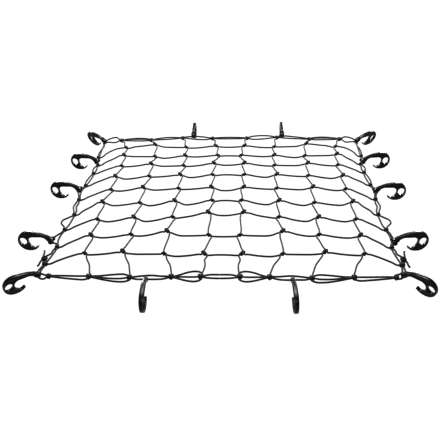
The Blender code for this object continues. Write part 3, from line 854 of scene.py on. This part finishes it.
BRAID_STRANDS = 8.0       # sheath strands each way round the cord
BRAID_PITCH = 0.011       # length of cord in which a sheath strand goes once round, in metres
WEAVE_DEPTH = 0.0004      # depths of the bumps, in metres
FIBRE_DEPTH = 0.0002
GRAIN_DEPTH = 0.0002
FIBRE_SCALE = 260.0       # scales of the noises, per metre
FADE_SCALE = 14.0
GRAIN_SCALE = 900.0
RUB_SCALE = 45.0
# The cord's dark tone also fills the grooves between the braid's strands as painted shade; the light tone
# is its paler fibres.
CORD_DARK = (0.005, 0.005, 0.0055, 1)
CORD_LIGHT = (0.030, 0.030, 0.031, 1)
PLASTIC_DARK = (0.005, 0.005, 0.0055, 1)
PLASTIC_LIGHT = (0.012, 0.012, 0.013, 1)


class Nodes:
    """Short ways to add and join shader nodes."""

    def __init__(self, name):
        self.material = bpy.data.materials.new(name)
        self.material.use_nodes = True
        self.tree = self.material.node_tree
        self.shader = self.tree.nodes["Principled BSDF"]

    def add(self, kind, **settings):
        node = self.tree.nodes.new(kind)
        for key, value in settings.items():
            setattr(node, key, value)
        return node

    def join(self, source, target):
        self.tree.links.new(source, target)

    def math(self, operation, *values):
        node = self.add("ShaderNodeMath", operation=operation)
        for socket, value in zip(node.inputs, values):
            if isinstance(value, (int, float)):
                socket.default_value = value
            else:
                self.join(value, socket)
        return node.outputs[0]

    def noise(self, place, scale, detail):
        node = self.add("ShaderNodeTexNoise")
        node.inputs["Scale"].default_value = scale
        node.inputs["Detail"].default_value = detail
        self.join(place, node.inputs["Vector"])
        return node.outputs["Fac"]

    def mix(self, share, low, high):
        node = self.add("ShaderNodeMix", data_type="RGBA")
        self.join(share, node.inputs["Factor"])
        node.inputs["A"].default_value = low
        node.inputs["B"].default_value = high
        return node.outputs["Result"]

    def bump(self, height, strength, distance, normal=None):
        node = self.add("ShaderNodeBump")
        node.inputs["Strength"].default_value = strength
        node.inputs["Distance"].default_value = distance
        self.join(height, node.inputs["Height"])
        if normal is not None:
            self.join(normal, node.inputs["Normal"])
        return node.outputs["Normal"]


def cord_material():
    """Braided black sheath: two sets of strands that wind both ways and pass over each other, with painted
    shade in the grooves between them.
    """
    n = Nodes("elastic_cord")
    uv = n.add("ShaderNodeUVMap", uv_map="along_cord")
    split = n.add("ShaderNodeSeparateXYZ")
    n.join(uv.outputs["UV"], split.inputs["Vector"])
    around = n.math("MULTIPLY", split.outputs["X"], BRAID_STRANDS)
    along = n.math("MULTIPLY", split.outputs["Y"], BRAID_STRANDS / BRAID_PITCH)
    one = n.math("SINE", n.math("MULTIPLY", n.math("ADD", around, along), 2 * pi))
    other = n.math("SINE", n.math("MULTIPLY", n.math("SUBTRACT", around, along), 2 * pi))
    weave_and_groove_shade = n.math("MULTIPLY_ADD", n.math("MAXIMUM", one, other), 0.5, 0.5)
    place = n.add("ShaderNodeNewGeometry").outputs["Position"]
    fibres = n.noise(place, FIBRE_SCALE, 3.0)
    fade = n.math("MULTIPLY", n.noise(place, FADE_SCALE, 2.0), 0.5)
    # The pale fibre flecks and fade are random tone. Times the weave's height, they fall to black in the
    # grooves between the strands, which is painted shade.
    share = n.math("MULTIPLY", weave_and_groove_shade, n.math("ADD", fibres, fade))
    n.join(n.mix(share, CORD_DARK, CORD_LIGHT), n.shader.inputs["Base Color"])
    fuzz = n.bump(fibres, 0.25, FIBRE_DEPTH)
    n.join(n.bump(weave_and_groove_shade, 0.6, WEAVE_DEPTH, fuzz), n.shader.inputs["Normal"])
    n.join(n.math("MULTIPLY_ADD", fibres, 0.2, 0.55), n.shader.inputs["Roughness"])
    n.shader.inputs["Sheen Weight"].default_value = 0.12
    n.shader.inputs["Sheen Roughness"].default_value = 0.4
    n.shader.inputs["Specular IOR Level"].default_value = 0.4
    return n.material


def plastic_material():
    """Moulded black nylon: satin, a fine spark-eroded grain and paler rubbed places."""
    n = Nodes("hook_plastic")
    place = n.add("ShaderNodeTexCoord").outputs["Object"]
    grain = n.noise(place, GRAIN_SCALE, 2.0)
    rub = n.noise(place, RUB_SCALE, 4.0)
    n.join(n.mix(rub, PLASTIC_DARK, PLASTIC_LIGHT), n.shader.inputs["Base Color"])
    n.join(n.math("MULTIPLY_ADD", rub, 0.22, 0.2), n.shader.inputs["Roughness"])
    n.join(n.bump(grain, 0.12, GRAIN_DEPTH), n.shader.inputs["Normal"])
    n.shader.inputs["Specular IOR Level"].default_value = 0.4
    return n.material


# ---- Floor and light ----

FLOOR_REACH = 30.0        # metres
WORLD_STRENGTH = 0.45
VIEW_GAMMA = 0.6


def floor_material():
    """An evenly white floor, as bright everywhere, so that it takes no shadow."""
    n = Nodes("pale_floor")
    n.shader.inputs["Base Color"].default_value = (0.02, 0.02, 0.02, 1)
    n.shader.inputs["Roughness"].default_value = 0.9
    n.shader.inputs["Specular IOR Level"].default_value = 0.0
    n.shader.inputs["Emission Color"].default_value = (1, 1, 1, 1)
    n.shader.inputs["Emission Strength"].default_value = 1.0
    return n.material


# Name, place, size and power. The low lights behind the net on both sides catch the cords and hooks that
# run front to back, and the other two give the front hooks' backs their sheen.
LIGHTS = (
    ("back_left", (-1.7, 3.2, 1.35), 1.0, 120.0),
    ("back_right", (1.7, 3.2, 1.35), 1.0, 120.0),
    ("top", (0.0, 0.7, 2.6), 1.5, 110.0),
    ("front", (0.0, -3.0, 2.4), 1.0, 35.0),
)


def add_stage():
    mesh = bpy.data.meshes.new("floor")
    corners = [(x * FLOOR_REACH, y * FLOOR_REACH, 0) for x, y in ((-1, -1), (1, -1), (1, 1), (-1, 1))]
    mesh.from_pydata(corners, [], [(0, 1, 2, 3)])
    mesh.materials.append(floor_material())
    floor = bpy.data.objects.new("floor", mesh)
    bpy.context.scene.collection.objects.link(floor)
    world = bpy.data.worlds.new("studio")
    bpy.context.scene.world = world
    world.use_nodes = True
    background = world.node_tree.nodes["Background"]
    background.inputs["Color"].default_value = (1, 1, 1, 1)
    background.inputs["Strength"].default_value = WORLD_STRENGTH
    for name, place, size, power in LIGHTS:
        light = bpy.data.lights.new(name, "AREA")
        light.energy = power
        light.size = size
        lamp = bpy.data.objects.new(name, light)
        bpy.context.scene.collection.objects.link(lamp)
        lamp.location = place
        lamp.rotation_euler = (-Vector(place)).to_track_quat("-Z", "Y").to_euler()
    bpy.context.scene.view_settings.view_transform = "Standard"
    bpy.context.scene.view_settings.gamma = VIEW_GAMMA


def main():
    add_camera()
    add_stage()
    cord = cord_material()
    plastic = plastic_material()

    crossing = CordMesh("cross_cords")
    add_cross_cords(crossing)
    lengthwise = CordMesh("lengthwise_cords")
    add_length_cords(lengthwise)
    inner = CordMesh("border_inner_strand")
    add_border_strand(inner, False)
    extra = CordMesh("border_loops_and_ties")
    add_third_strands(extra)
    add_corner_ties(extra)
    outer = CordMesh("border_outer_strand")
    add_border_strand(outer, True)
    for side in (-1, 1):
        eyes = eye_frames(side)
        for eye in eyes[FRONT_CORNER:]:
            add_lashing(outer, eye)
        for eye in eyes[SIDE_HOOKS]:
            add_collars(extra, eye)
    net = [mesh.build(cord) for mesh in (crossing, lengthwise, inner, extra)]
    for piece in net:
        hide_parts("net_mesh")
    border = outer.build(cord)
    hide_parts("border_cord")
    ties = [build_tie_knot(side, cord) for side in (-1, 1)]
    for piece in (*net, border, *ties):
        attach(piece, "root")
    for hook in build_hooks(plastic):
        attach(hook, "root")


main()
